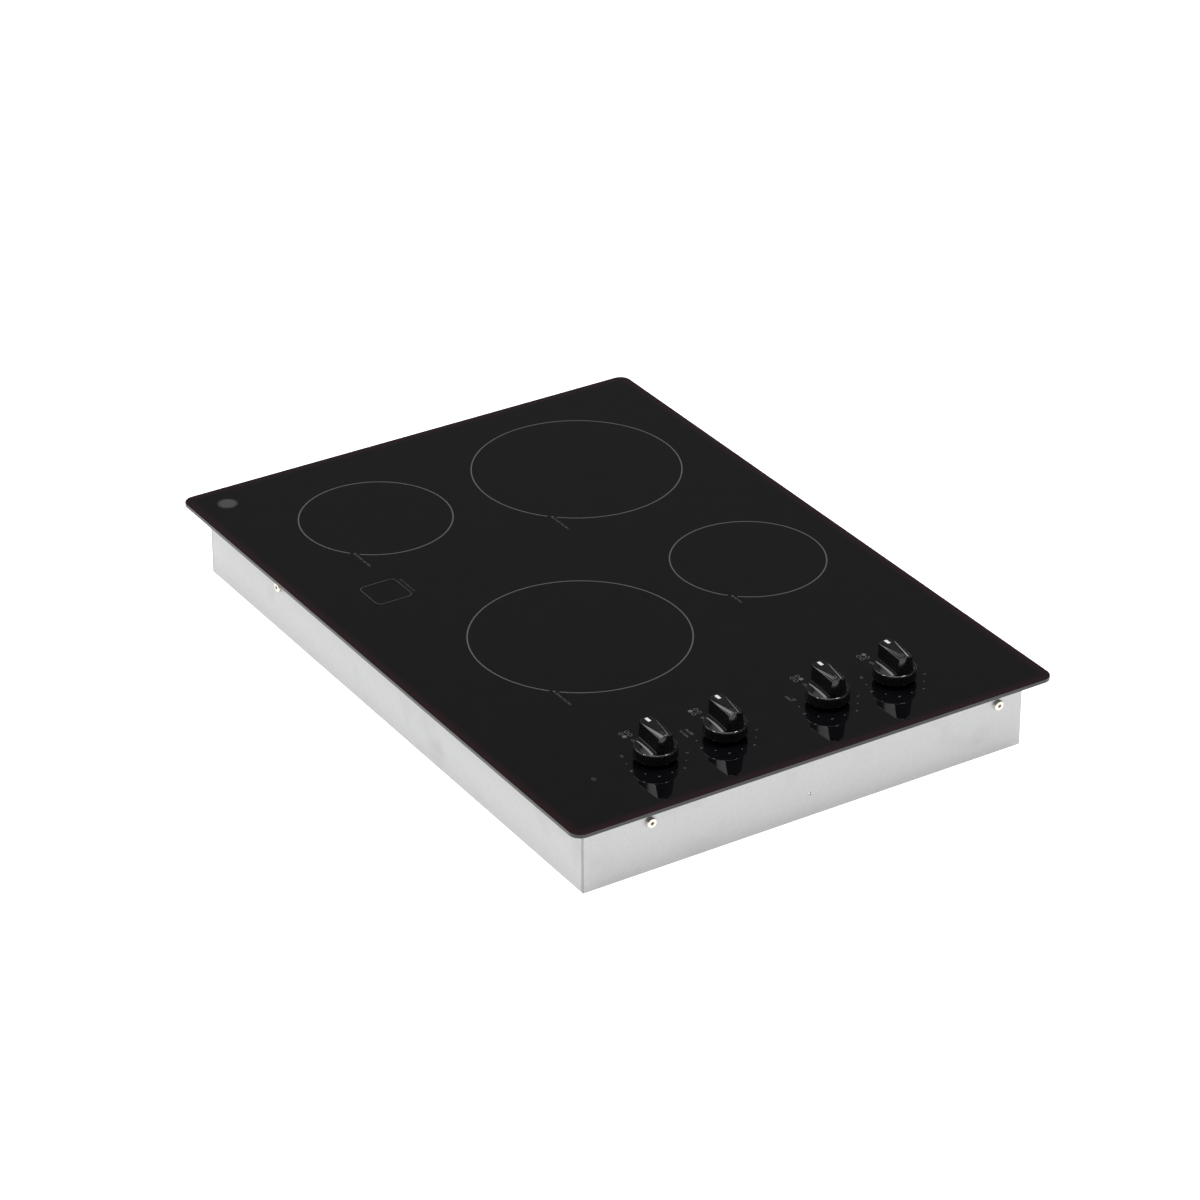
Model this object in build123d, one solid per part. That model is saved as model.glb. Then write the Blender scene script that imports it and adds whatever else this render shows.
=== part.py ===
from build123d import *
import os
from math import cos, radians

# Built-in radiant cooktop with four heating zones under one black ceramic-glass top.
# Frame: millimetres, +Z up, origin in the middle of the burner box's underside.
# The user stands on the -Y side, and the four control knobs are in a column on the +X side.

os.makedirs("parts", exist_ok=True)

# ---------------------------------------------------------------- driving dimensions
GLASS_LENGTH = 755.6
GLASS_DEPTH = 531.0
GLASS_THICK = 4.0
GLASS_CORNER = 12.0
GLASS_BEVEL = 0.5
GLASS_TOP = 79.4
GLASS_UNDER = GLASS_TOP - GLASS_THICK
# Every cutting shape runs this far past the material that it cuts.
OVER = 1.0

BOX_LENGTH = 711.5
BOX_DEPTH = 489.5
SHEET = 1.0
BOX_FOLD = 1.6
BOX_GAP = 1.0
BOX_TOP = GLASS_UNDER - BOX_GAP
SEAM = 0.6
SEAM_DEEP = 0.4
SEAM_INSET = 2.2
SEAM_LOW = 3.0
VENT_LONG = 46.0
VENT_WIDE = 4.0
VENT_STEP = 12.0
# The middle of each group of floor vents and its number of slots.
VENT_GROUPS = ((-145.0, 150.0, 9), (-145.0, -180.0, 9), (150.0, -190.0, 9), (302.8, 0.0, 11))

BEAD_THICK = 2.0
BEAD_WIDTH = 7.0
BEAD_INSET = 1.0
FRAME_SHEET = 1.2
FRAME_FLANGE = 10.0
FRAME_LEG_LOW = 40.0
FRAME_PLAY = 0.25
FRAME_HALF_X = BOX_LENGTH / 2 - SHEET - FRAME_PLAY
FRAME_HALF_Y = BOX_DEPTH / 2 - SHEET - FRAME_PLAY
FRAME_TOP = GLASS_UNDER - BEAD_THICK
GASKET_THICK = 1.5
GASKET_WIDTH = 10.0
GASKET_INSET = 3.0
GASKET_CORNER = 5.0

SMALL_DISH = 82.0
LARGE_DISH = 112.5
# Each element's x, y and dish radius, and which way its limiter head points, in degrees from +X.
ELEMENTS = {
    "front_left": (-238.0, -118.5, SMALL_DISH, 0.0),
    "rear_left": (-221.5, 108.5, LARGE_DISH, 0.0),
    "front_right": (74.0, -71.5, LARGE_DISH, 180.0),
    "rear_right": (32.5, 149.5, SMALL_DISH, 180.0),
}
DISH_LOW = 49.4
DISH_HIGH = 72.4
DISH_SHEET = 0.6
WALL_THICK = 7.5
BASE_THICK = 10.0
NOTCH = 6.5
RIBBON = 0.5
RIBBON_TALL = 5.0
RIBBON_PITCH = 9.0
CORRIDOR = 2.6
COIL_INSET = 4.0
COIL_EYE = 12.0
LEAD_LANE = 0.9
ROD_INSET = 3.0
ROD_RADIUS = 2.25
ROD_LEVEL = 69.5
HEAD_LONG = 18.0
HEAD_WIDE = 18.0
HEAD_LOW = 56.0
HEAD_HIGH = 74.0
HEAD_OFF = 1.5
HEAD_CHAMFER = 1.5
HEAD_SHELF = 0.8
HEAD_SHELF_HALF = 8.0
BLADE_THICK = 0.8
BLADE_LONG = 8.0
BLADE_TALL = 6.0
BLADE_LOW = 60.0
BLADE_OFF = 2.8

RAIL_WIDE = 60.0
RAIL_TALL = 14.0
RAIL_SHEET = 1.0
RAIL_HALF = 232.0
RAILS_X = (-230.0, 53.0)
SPRING_Y = 208.0
STUD_RADIUS = 5.0
STUD_LOW = 14.0
RAIL_COIL = 7.0
RAIL_WIRE = 0.8
RAIL_TURNS = 7

# Controls, from the front of the cooktop to the back, and the zone that each one heats.
KNOB_X = 302.8
KNOB_STEP = 76.2
KNOB_MIDDLE = 114.3
KNOB_YS = (
    -KNOB_MIDDLE / 2 - KNOB_STEP,
    -KNOB_MIDDLE / 2,
    KNOB_MIDDLE / 2,
    KNOB_MIDDLE / 2 + KNOB_STEP,
)
ZONES = ("front_right", "front_left", "rear_right", "rear_left")
SHAFT_HOLE = 6.5

SHAFT_RADIUS = 3.0
SHAFT_FLAT = 2.2
RUNNING = 0.05
SHAFT_LOW = 43.5
SHAFT_HIGH = 102.0
COLLAR_RADIUS = 4.6
COLLAR_LOW = 58.0
COLLAR_HIGH = 60.4

COVER_HIGH = 62.0
COVER_SHEET = 1.2
COVER_SIDE = 40.0
NECK_RADIUS = 4.8
NECK_HIGH = 68.0
BASE_SIDE = 36.0
BASE_LOW = 36.0
BASE_FLOOR = 40.0
CAVITY_RADIUS = 14.5
CAM_LOW = 42.0
CAM_HIGH = 48.0
CAM_RADIUS = 11.0
CAM_THROW = 1.8
HUB_RADIUS = 5.0
HUB_LOW = 38.8
RECESS_LOW = 38.5
SWITCH_SCREW = 14.8
SWITCH_SCREW_RADIUS = 1.7
SWITCH_SCREW_LOW = 52.0
SWITCH_SCREW_HEAD = 3.1
SWITCH_SCREW_HEAD_TALL = 2.2
CROSS_LONG = 4.4
CROSS_WIDE = 0.7
CROSS_DEEP = 1.0
CAM_COIL = 3.9
CAM_WIRE = 0.35
CAM_TURNS = 5
TERMINAL_LONG = 8.0
TERMINAL_HALF_WIDE = 3.1
TERMINAL_THICK = 0.8
GROMMET_LIP = 2.0
GROMMET_LIP_TALL = 0.8
GROMMET_PLAY = 0.3

BRACKET_SHEET = 1.2
BRACKET_WIDE = 62.0
BRACKET_HALF = 178.0
BRACKET_FOOT = 14.0
BRACKET_LIP = 8.0

SKIRT_LOW = GLASS_TOP + 5.0
SKIRT_RADIUS = 21.0
SKIRT_TALL = 10.0
SKIRT_WALL = 2.1
BOSS_RADIUS = 6.2
GRIP_TOP = 29.8
GRIP_HALF = 17.0
GRIP_HALF_WIDTH = 7.5
GRIP_FOOT_WIDTH = 8.6
GRIP_FLARE = 2.6
# How far the grip's -X and +X ends lean in, in degrees.
GRIP_LEANS = ((-1, 2.5), (1, 4.0))
EAVE_DROP_START = 1.0
EAVE_DROP_END = 2.6
RIDGE_HALF = 0.4
ROOF_TALL = 2.5
CORE_LONG = 7.4
CORE_WIDE = 9.0
CORE_HIGH = 25.0
CORE_X = 10.6
CLIP_HALF = 1.9
CLIP_SHEET = 0.4
CLIP_Y = 2.3
CLIP_REACH = 3.5
CLIP_LOW = 1.2
CLIP_HIGH = 15.9

SHIELD_X = 214.0
SHIELD_SHEET = 0.8
SHIELD_TOP = 70.0
SHIELD_FOOT = 12.0
SHIELD_LIP = 10.0
LEAD_HOLE = 4.5
LEAD_RADIUS = 2.0
LEAD_BEND = 11.5
LEAD_LOW = 12.0
LEAD_HIGH = 20.0
LEAD_SIDE = 6.0
SUPPLY_LEVEL = 7.0
SUPPLY_BEND = 8.0
SUPPLY_STEP = 6.0
SUPPLY_Y = 190.0
POLE_Y = 8.0

SCREW_SHANK = 2.0
SCREW_SHANK_LONG = 7.0
SCREW_HEAD = 5.25
SCREW_HEAD_TALL = 3.4
SCREW_ROUND = 1.2
SOCKET_RADIUS = 2.0
SOCKET_DEEP = 2.0
SIDE_SCREW_LEVEL = 52.8
END_SCREW_LEVEL = 50.8
SIDE_SCREW_YS = (-172.7, 215.8)
END_SCREW_X = -210.2
HOLD_DOWN_Y = 1.8
HOLD_DOWN_LEVEL = 25.0
HOLD_DOWN_RADIUS = 1.5

INLET_X = 243.0
INLET_LEVEL = 26.0
INLET_HOLE = 11.1
INLET_BORE = 8.75
INLET_FLANGE = 14.0
INLET_FLANGE_THICK = 2.5
INLET_INSIDE = 9.0

WINDOW_X = -100.4
WINDOW_Y = -185.4
LENS_HALF = 18.0
LENS_CORNER = 4.0
LENS_LOW = 71.5
LENS_HIGH = 74.5
LAMP_RADIUS = 7.0
LAMP_SHELF = 58.0
LAMP_STEM = 4.0
LAMP_LOW = 50.0
SHELF_SHEET = 1.2
SHELF_HALF_X = 22.0
SHELF_HALF_Y = 10.0
SHELF_TOE = 32.0

POLES_Y = 205.0
POLES_HALF_X = 22.0
POLES_HALF_Y = 15.0
POLES_HIGH = 11.0
POLE_STEP = 14.0
POLE_WALL = 2.0
POLE_WALL_HIGH = 18.0
POLE_SCREW = 4.2
POLE_SCREW_HIGH = 13.4
POLE_SLOT = 1.0


# ---------------------------------------------------------------- shape helpers
def block(x0, x1, y0, y1, z0, z1):
    """A box between two corners."""
    middle = Pos((x0 + x1) / 2, (y0 + y1) / 2, (z0 + z1) / 2)
    return middle * Box(x1 - x0, y1 - y0, z1 - z0)


def disc(x, y, radius, z0, z1):
    """An upright cylinder between two levels."""
    return Pos(x, y, (z0 + z1) / 2) * Cylinder(radius, z1 - z0)


def ring_frame(half_x, half_y, width, z0, z1):
    """A rectangular frame centred on the origin, width being the breadth of its band."""
    outer = block(-half_x, half_x, -half_y, half_y, z0, z1)
    x, y = half_x - width, half_y - width
    inner = block(-x, x, -y, y, z0 - OVER, z1 + OVER)
    return outer - inner


def cross_bore(x, y, z, radius, length, axis):
    """A cylinder that lies along X or Y, centred on a point."""
    turn = Rot(0, 90, 0) if axis == "x" else Rot(90, 0, 0)
    return Pos(x, y, z) * turn * Cylinder(radius, length)


def d_bar(x, y, radius, flat, z0, z1):
    """A bar of D section: a cylinder whose +Y side is cut flat."""
    far = radius + OVER
    cut = block(x - far, x + far, y + flat, y + far, z0 - OVER, z1 + OVER)
    return disc(x, y, radius, z0, z1) - cut


def coil_spring(x, y, mean_radius, wire_radius, z0, z1, turns):
    """A compression spring that stands between two levels."""
    tall = z1 - z0 - 2 * wire_radius
    line = Pos(x, y, z0 + wire_radius) * Helix(tall / turns, tall, mean_radius)
    return sweep(Plane(line @ 0, z_dir=line % 0) * Circle(wire_radius), path=line, is_frenet=True)


def save(name, *pieces):
    """Writes one node. A node of several pieces keeps each piece as its own solid."""
    solids = [solid for piece in pieces for solid in piece.solids()]
    shape = solids[0] if len(solids) == 1 else Compound(children=solids)
    export_step(shape, os.path.join("parts", name + ".step"))


# ---------------------------------------------------------------- top
def glass_top():
    """The ceramic-glass plate, bevelled round its top edge and bored for four control shafts."""
    sketch = RectangleRounded(GLASS_LENGTH, GLASS_DEPTH, GLASS_CORNER)
    plate = Pos(0, 0, GLASS_UNDER) * extrude(sketch, amount=GLASS_THICK)
    plate = chamfer(plate.edges().group_by(Axis.Z)[-1], GLASS_BEVEL)
    for y in KNOB_YS:
        plate -= disc(KNOB_X, y, SHAFT_HOLE, GLASS_UNDER - OVER, GLASS_TOP + OVER)
    return plate


def rim_gasket():
    """Four strips of foam tape under the overhang of the glass, cut back at its round corners."""
    half_x = GLASS_LENGTH / 2 - GASKET_INSET
    half_y = GLASS_DEPTH / 2 - GASKET_INSET
    z0 = GLASS_UNDER - GASKET_THICK
    short = half_y - GASKET_WIDTH
    long = half_x - GASKET_CORNER
    return [
        block(-long, long, -half_y, -short, z0, GLASS_UNDER),
        block(-long, long, short, half_y, z0, GLASS_UNDER),
        block(-half_x, GASKET_WIDTH - half_x, -short, short, z0, GLASS_UNDER),
        block(half_x - GASKET_WIDTH, half_x, -short, short, z0, GLASS_UNDER),
    ]


def adhesive_bead():
    """The silicone that bonds the glass to the top frame."""
    half_x, half_y = FRAME_HALF_X - BEAD_INSET, FRAME_HALF_Y - BEAD_INSET
    return ring_frame(half_x, half_y, BEAD_WIDTH, FRAME_TOP, GLASS_UNDER)


def fastener_spots():
    """The side fasteners: x, y, level, the axis they lie along and the way their heads face."""
    spots = []
    for side in (-1, 1):
        for y in SIDE_SCREW_YS:
            spots.append((side * BOX_LENGTH / 2, y, SIDE_SCREW_LEVEL, "x", side))
        spots.append((END_SCREW_X, side * BOX_DEPTH / 2, END_SCREW_LEVEL, "y", side))
    return spots


def top_frame():
    """An angle-section frame under the glass, whose legs drop inside the box walls."""
    flange = ring_frame(FRAME_HALF_X, FRAME_HALF_Y, FRAME_FLANGE, FRAME_TOP - FRAME_SHEET, FRAME_TOP)
    leg = ring_frame(FRAME_HALF_X, FRAME_HALF_Y, FRAME_SHEET, FRAME_LEG_LOW, FRAME_TOP)
    frame = flange + leg
    for x, y, z, axis, side in fastener_spots():
        frame -= cross_bore(x, y, z, SCREW_SHANK + RUNNING, 20, axis)
    return frame


# ---------------------------------------------------------------- burner box
def vent_slots():
    """Groups of round-ended slots in the floor, under the elements and under the controls."""
    slots = []
    slot = extrude(SlotOverall(VENT_LONG, VENT_WIDE), amount=SHEET + 2 * OVER)
    for middle_x, middle_y, count in VENT_GROUPS:
        for i in range(count):
            y = middle_y + (i - (count - 1) / 2) * VENT_STEP
            slots.append(Pos(middle_x, y, -OVER) * slot)
    return slots


def burner_box():
    """The folded sheet-metal pan, open at the top, with an overlap seam at each corner."""
    half_x = BOX_LENGTH / 2
    half_y = BOX_DEPTH / 2
    shell = block(-half_x, half_x, -half_y, half_y, 0, BOX_TOP)
    shell = fillet(shell.edges().filter_by(Axis.Z), BOX_FOLD)
    shell = fillet(shell.edges().group_by(Axis.Z)[0], BOX_FOLD)
    in_x, in_y = half_x - SHEET, half_y - SHEET
    inside = block(-in_x, in_x, -in_y, in_y, SHEET, BOX_TOP + OVER)
    inside = fillet(inside.edges().filter_by(Axis.Z), BOX_FOLD - SHEET)
    shell -= inside
    for sx in (-1, 1):
        for sy in (-1, 1):
            # The end wall's flange wraps round the corner and shows as a shallow upright line.
            x, y = sx * (half_x - SEAM_INSET), sy * half_y
            low_x, high_x = x - SEAM / 2, x + SEAM / 2
            shell -= block(low_x, high_x, y - SEAM_DEEP, y + SEAM_DEEP, SEAM_LOW, BOX_TOP + OVER)
    shell -= vent_slots()
    for x, y, z, axis, side in fastener_spots():
        shell -= cross_bore(x, y, z, SCREW_SHANK + 0.25, 6, axis)
    for side in (-1, 1):
        shell -= cross_bore(side * half_x, HOLD_DOWN_Y, HOLD_DOWN_LEVEL, HOLD_DOWN_RADIUS, 6, "x")
    shell -= cross_bore(INLET_X, half_y, INLET_LEVEL, INLET_HOLE, 6, "y")
    return shell


def side_screws():
    """Round-headed machine screws with a small socket, which fasten the box to the top frame."""
    upright = disc(0, 0, SCREW_HEAD, 0, SCREW_HEAD_TALL)
    upright = fillet(upright.edges().group_by(Axis.Z)[-1], SCREW_ROUND)
    upright += disc(0, 0, SCREW_SHANK, -SCREW_SHANK_LONG, 0)
    socket = extrude(RegularPolygon(SOCKET_RADIUS, 6), amount=SOCKET_DEEP + OVER)
    upright -= Pos(0, 0, SCREW_HEAD_TALL - SOCKET_DEEP) * socket
    screws = []
    for x, y, z, axis, side in fastener_spots():
        turn = Rot(0, 90 * side, 0) if axis == "x" else Rot(-90 * side, 0, 0)
        screws.append(Pos(x, y, z) * turn * upright)
    return screws


# ---------------------------------------------------------------- heating elements
def element_rails():
    """Two channels that carry the elements, each with a guide stud inside its end springs."""
    rails = []
    half = RAIL_WIDE / 2
    inside = half - RAIL_SHEET
    far = RAIL_HALF + OVER
    low, web = DISH_LOW - RAIL_TALL, DISH_LOW - RAIL_SHEET
    for x in RAILS_X:
        channel = block(x - half, x + half, -RAIL_HALF, RAIL_HALF, low, DISH_LOW)
        channel -= block(x - inside, x + inside, -far, far, low - OVER, web)
        for y in (-SPRING_Y, SPRING_Y):
            channel += disc(x, y, STUD_RADIUS, STUD_LOW, web)
        rails.append(channel)
    return rails


def rail_springs():
    """The four springs that press the rails, and so the elements, up against the glass."""
    web = DISH_LOW - RAIL_SHEET
    return [
        coil_spring(x, y, RAIL_COIL, RAIL_WIRE, SHEET, web, RAIL_TURNS)
        for x in RAILS_X
        for y in (-SPRING_Y, SPRING_Y)
    ]


def placed(zone, shape):
    """Turns a shape that was made along +X to a zone's heading and moves it to the zone."""
    x, y, radius, heading = ELEMENTS[zone]
    return Pos(x, y, 0) * Rot(0, 0, heading) * shape


def element_dish(zone):
    """The pressed steel dish, notched for the limiter rod, with a ledge for the limiter head."""
    radius = ELEMENTS[zone][2]
    dish = disc(0, 0, radius, DISH_LOW, DISH_HIGH)
    dish -= disc(0, 0, radius - DISH_SHEET, DISH_LOW + DISH_SHEET, DISH_HIGH + OVER)
    near, far = radius - DISH_SHEET - OVER, radius + OVER
    half = NOTCH / 2
    dish -= block(near, far, -half, half, DISH_LOW + BASE_THICK, DISH_HIGH + OVER)
    far = radius + HEAD_OFF + HEAD_LONG
    half = HEAD_SHELF_HALF
    dish += block(radius - DISH_SHEET / 2, far, -half, half, HEAD_LOW - HEAD_SHELF, HEAD_LOW)
    return placed(zone, dish)


def element_insulation(zone):
    """The ceramic-fibre cup that lines the dish and presses against the glass."""
    radius = ELEMENTS[zone][2] - DISH_SHEET - 0.2
    low = DISH_LOW + DISH_SHEET
    cup = disc(0, 0, radius, low, GLASS_UNDER)
    floor = low + BASE_THICK
    cup -= disc(0, 0, radius - WALL_THICK, floor, GLASS_UNDER + OVER)
    cup -= block(0, radius + OVER, -NOTCH / 2, NOTCH / 2, floor, GLASS_UNDER + OVER)
    return placed(zone, cup)


def element_coil(zone):
    """The ribbon heater: open rings joined end to end, with two leads along the corridor."""
    radius = ELEMENTS[zone][2]
    outside = radius - DISH_SHEET - WALL_THICK - COIL_INSET
    count = int((outside - COIL_EYE) / RIBBON_PITCH) + 1
    radii = [outside - RIBBON_PITCH * i for i in range(count)][::-1]
    flat = Sketch()
    for r in radii:
        flat += Circle(r + RIBBON / 2) - Circle(r - RIBBON / 2)
    flat -= Pos(radius / 2, 0) * Rectangle(radius, 2 * CORRIDOR)
    edge = CORRIDOR + RIBBON / 2
    for i in range(count - 1):
        side = 1 if i % 2 == 0 else -1
        near = radii[i] - RIBBON
        bar = Rectangle(RIBBON_PITCH + RIBBON, RIBBON)
        flat += Pos(near + RIBBON_PITCH / 2, side * edge) * bar
    end = radius + HEAD_OFF
    outer_side = 1 if (count - 1) % 2 == 0 else -1
    for start, side in ((radii[0], -1), (radii[-1], outer_side)):
        lane = side * LEAD_LANE
        flat += Pos((start + end) / 2, lane) * Rectangle(end - start, RIBBON)
        step = CORRIDOR - LEAD_LANE + 2 * RIBBON
        flat += Pos(start, (side * edge + lane) / 2) * Rectangle(RIBBON, step)
    level = DISH_LOW + DISH_SHEET + BASE_THICK
    return placed(zone, Pos(0, 0, level) * extrude(flat, amount=RIBBON_TALL))


def element_limiter(zone):
    """The thermal limiter: a rod across the element and a ceramic head outside the dish."""
    radius = ELEMENTS[zone][2]
    near = radius + HEAD_OFF
    far = near + HEAD_LONG
    back = radius - DISH_SHEET - WALL_THICK - ROD_INSET
    rod = Pos((near - back) / 2, 0, ROD_LEVEL) * Rot(0, 90, 0) * Cylinder(ROD_RADIUS, near + back)
    head = block(near, far, -HEAD_WIDE / 2, HEAD_WIDE / 2, HEAD_LOW, HEAD_HIGH)
    head = chamfer(head.edges().filter_by(Axis.Z), HEAD_CHAMFER)
    limiter = head + rod
    half = BLADE_THICK / 2
    for y in (-BLADE_OFF, BLADE_OFF):
        high = BLADE_LOW + BLADE_TALL
        limiter += block(far, far + BLADE_LONG, y - half, y + half, BLADE_LOW, high)
    return placed(zone, limiter)


# ---------------------------------------------------------------- inside fittings
def heat_shield():
    """The upright sheet between the elements and the controls, with holes for the leads."""
    half = RAIL_HALF
    x0, x1 = SHIELD_X, SHIELD_X + SHIELD_SHEET
    sheet = block(x0, x1, -half, half, SHEET, SHIELD_TOP)
    sheet += block(x0 - SHIELD_FOOT, x1, -half, half, SHEET, SHEET + SHIELD_SHEET)
    sheet += block(x0, x0 + SHIELD_LIP, -half, half, SHIELD_TOP - SHIELD_SHEET, SHIELD_TOP)
    for y, zone in zip(KNOB_YS, ZONES):
        sheet -= cross_bore(x0, y, lead_level(zone), LEAD_HOLE, 6 * OVER, "x")
    return sheet


def switch_screw_spots(y):
    """The two screws of a switch, at opposite corners of it."""
    return [(KNOB_X + side * SWITCH_SCREW, y + side * SWITCH_SCREW) for side in (-1, 1)]


def switch_screw_holes(y, play):
    """Two holes round the screws of a switch, which stop short of its floor."""
    radius = SWITCH_SCREW_RADIUS + play
    high = COVER_HIGH + BRACKET_SHEET + OVER
    return [disc(x, y, radius, SWITCH_SCREW_LOW - 2, high) for x, y in switch_screw_spots(y)]


def switch_bracket():
    """A bridge over the floor, lipped along both sides, that the four switches hang from."""
    half = BRACKET_WIDE / 2
    x0, x1 = KNOB_X - half, KNOB_X + half
    low, high = COVER_HIGH, COVER_HIGH + BRACKET_SHEET
    far = BRACKET_HALF
    bracket = block(x0, x1, -far, far, low, high)
    for x in (x0, x1 - BRACKET_SHEET):
        bracket += block(x, x + BRACKET_SHEET, -far, far, low - BRACKET_LIP, high)
    for side in (-1, 1):
        inner, outer, toe = side * (far - BRACKET_SHEET), side * far, side * (far + BRACKET_FOOT)
        bracket += block(x0, x1, min(inner, outer), max(inner, outer), SHEET, high)
        bracket += block(x0, x1, min(inner, toe), max(inner, toe), SHEET, SHEET + BRACKET_SHEET)
    for y in KNOB_YS:
        bracket -= disc(KNOB_X, y, NECK_RADIUS + 0.2, low - OVER, high + OVER)
        bracket -= switch_screw_holes(y, 0.15)
    return bracket


def bracket_screws():
    """Two pan-head screws for each switch, down through the bracket."""
    head_low = COVER_HIGH + BRACKET_SHEET
    head_high = head_low + SWITCH_SCREW_HEAD_TALL
    screw = disc(0, 0, SWITCH_SCREW_HEAD, head_low, head_high)
    screw = fillet(screw.edges().group_by(Axis.Z)[-1], 0.8)
    bar = Pos(0, 0, head_high) * Box(CROSS_LONG, CROSS_WIDE, 2 * CROSS_DEEP)
    screw -= [bar, Rot(0, 0, 90) * bar]
    screw += disc(0, 0, SWITCH_SCREW_RADIUS, SWITCH_SCREW_LOW, head_low)
    return [Pos(x, spot_y, 0) * screw for y in KNOB_YS for x, spot_y in switch_screw_spots(y)]


def shaft_grommets():
    """A rubber grommet in each hole of the glass, which keeps spills off the switch."""
    grommets = []
    for y in KNOB_YS:
        ring = disc(KNOB_X, y, SHAFT_HOLE - RUNNING, GLASS_UNDER, GLASS_TOP)
        ring += disc(KNOB_X, y, SHAFT_HOLE + GROMMET_LIP, GLASS_TOP, GLASS_TOP + GROMMET_LIP_TALL)
        low, high = GLASS_UNDER - OVER, GLASS_TOP + GROMMET_LIP_TALL + OVER
        grommets.append(ring - disc(KNOB_X, y, SHAFT_RADIUS + GROMMET_PLAY, low, high))
    return grommets


def indicator_lamp():
    """The lamp for the hot-surface window: a square lens on a round lamp body."""
    x, y, half = WINDOW_X, WINDOW_Y, LENS_HALF
    lens = block(x - half, x + half, y - half, y + half, LENS_LOW, LENS_HIGH)
    lens = fillet(lens.edges().filter_by(Axis.Z), LENS_CORNER)
    body = disc(x, y, LAMP_RADIUS, LAMP_SHELF, LENS_LOW)
    return lens + body + disc(x, y, LAMP_STEM, LAMP_LOW, LAMP_SHELF)


def indicator_bracket():
    """The bridge that holds the lamp under the glass."""
    x, half = WINDOW_X, SHELF_HALF_X
    y0, y1 = WINDOW_Y - SHELF_HALF_Y, WINDOW_Y + SHELF_HALF_Y
    bracket = block(x - half, x + half, y0, y1, LAMP_SHELF - SHELF_SHEET, LAMP_SHELF)
    for side in (-1, 1):
        inner, outer, toe = side * (half - SHELF_SHEET), side * half, side * SHELF_TOE
        leg = sorted((x + inner, x + outer))
        foot = sorted((x + inner, x + toe))
        bracket += block(*leg, y0, y1, SHEET, LAMP_SHELF)
        bracket += block(*foot, y0, y1, SHEET, SHEET + SHELF_SHEET)
    hole = LAMP_STEM + 0.3
    return bracket - disc(x, WINDOW_Y, hole, LAMP_SHELF - SHELF_SHEET - OVER, LAMP_SHELF + OVER)


def terminal_block():
    """A three-pole block with raised walls and a brass screw on each pole."""
    start = INLET_X - POLES_HALF_X
    y0, y1 = POLES_Y - POLES_HALF_Y, POLES_Y + POLES_HALF_Y
    body = block(start, INLET_X + POLES_HALF_X, y0, y1, SHEET, POLES_HIGH)
    for i in range(4):
        wall = start + i * POLE_STEP
        body += block(wall, wall + POLE_WALL, y0, y1, POLES_HIGH, POLE_WALL_HIGH)
    screw = disc(0, POLES_Y, POLE_SCREW, POLES_HIGH, POLE_SCREW_HIGH)
    screw -= Pos(0, POLES_Y, POLE_SCREW_HIGH) * Box(2 * POLE_SCREW + OVER, POLE_SLOT, 2 * POLE_SLOT)
    first = start + (POLE_STEP + POLE_WALL) / 2 + OVER
    return [body] + [Pos(first + i * POLE_STEP, 0, 0) * screw for i in range(3)]


def inlet_bushing():
    """The bushing for the supply conduit, snapped into the rear wall from outside."""
    wall = BOX_DEPTH / 2
    inner = wall - INLET_INSIDE
    outer = wall + INLET_FLANGE_THICK
    long = outer - inner
    body = cross_bore(INLET_X, (inner + outer) / 2, INLET_LEVEL, INLET_HOLE - 0.1, long, "y")
    middle = wall + INLET_FLANGE_THICK / 2
    body += cross_bore(INLET_X, middle, INLET_LEVEL, INLET_FLANGE, INLET_FLANGE_THICK, "y")
    return body - cross_bore(INLET_X, wall, INLET_LEVEL, INLET_BORE, 3 * long, "y")


# ---------------------------------------------------------------- wiring
def lead_level(zone):
    """The height of a zone's lead over the floor. Two leads cross, so one of them runs higher."""
    return LEAD_HIGH if zone == "rear_left" else LEAD_LOW


def tube(points, radius, bend):
    """A round lead along straight runs joined by arcs."""
    line = FilletPolyline(*points, radius=bend)
    return sweep(Plane(line @ 0, z_dir=line % 0) * Circle(radius), path=line)


def wire_harness():
    """A lead from each switch to its element, and one from the terminal block to each switch."""
    leads = []
    blade_tip = BASE_LOW - TERMINAL_LONG
    for i, (y, zone) in enumerate(zip(KNOB_YS, ZONES)):
        x0, y0, radius, heading = ELEMENTS[zone]
        reach = radius + HEAD_OFF + HEAD_LONG / 2
        head_x = x0 + reach * cos(radians(heading))
        level = lead_level(zone)
        near = KNOB_X + LEAD_SIDE
        points = [(near, y, blade_tip), (near, y, level), (head_x, y, level)]
        points += [(head_x, y0, level), (head_x, y0, HEAD_LOW - HEAD_SHELF)]
        leads.append(tube(points, LEAD_RADIUS, min(LEAD_BEND, 0.9 * (blade_tip - level))))
        lane = INLET_X + (i - 1.5) * SUPPLY_STEP
        near = KNOB_X - LEAD_SIDE
        side = y + POLE_Y
        points = [(lane, SUPPLY_Y, SUPPLY_LEVEL), (lane, side, SUPPLY_LEVEL)]
        points += [(near, side, SUPPLY_LEVEL), (near, side, blade_tip)]
        leads.append(tube(points, LEAD_RADIUS, SUPPLY_BEND))
    return leads


# ---------------------------------------------------------------- switches
def switch_cover(y):
    """The steel cover of a switch, whose neck guides the shaft."""
    half = COVER_SIDE / 2
    low = COVER_HIGH - COVER_SHEET
    cover = block(KNOB_X - half, KNOB_X + half, y - half, y + half, low, COVER_HIGH)
    cover += disc(KNOB_X, y, NECK_RADIUS, COVER_HIGH, NECK_HIGH)
    cover -= disc(KNOB_X, y, SHAFT_RADIUS + RUNNING, low - OVER, NECK_HIGH + OVER)
    return cover - switch_screw_holes(y, 0.1)


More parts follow.
